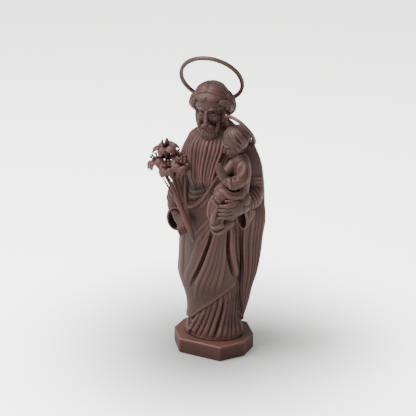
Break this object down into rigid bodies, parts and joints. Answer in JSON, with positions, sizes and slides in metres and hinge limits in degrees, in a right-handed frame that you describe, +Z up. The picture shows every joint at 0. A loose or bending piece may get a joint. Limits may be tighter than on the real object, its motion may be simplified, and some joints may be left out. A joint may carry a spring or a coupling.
{
  "type": "saint joseph statue",
  "caption": "Brown cast statue of a robed, bearded man with a child on one arm and a lily spray in the other hand, both with ring halos, on an octagonal plinth.",
  "frame": {"origin": "centre of the plinth's flat underside", "axes": "+Z up the figure, the figure faces -Y, the child sits towards +X"},
  "size_m": [0.1109, 0.0856, 0.3075],
  "materials": {
    "figure_finish": "matte chocolate brown, with reddish lighter edges",
    "plinth_finish": "matte chocolate brown, slightly smoother than the figure",
    "lily_spray_finish": "matte chocolate brown",
    "joseph_halo_finish": "satin chocolate brown",
    "child_halo_finish": "satin chocolate brown"
  },
  "bodies": {
    "root": {"figure_group": "figure_finish", "plinth": "plinth_finish", "lily_spray": "lily_spray_finish", "joseph_halo": "joseph_halo_finish", "child_halo": "child_halo_finish"}
  },
  "joints": []
}
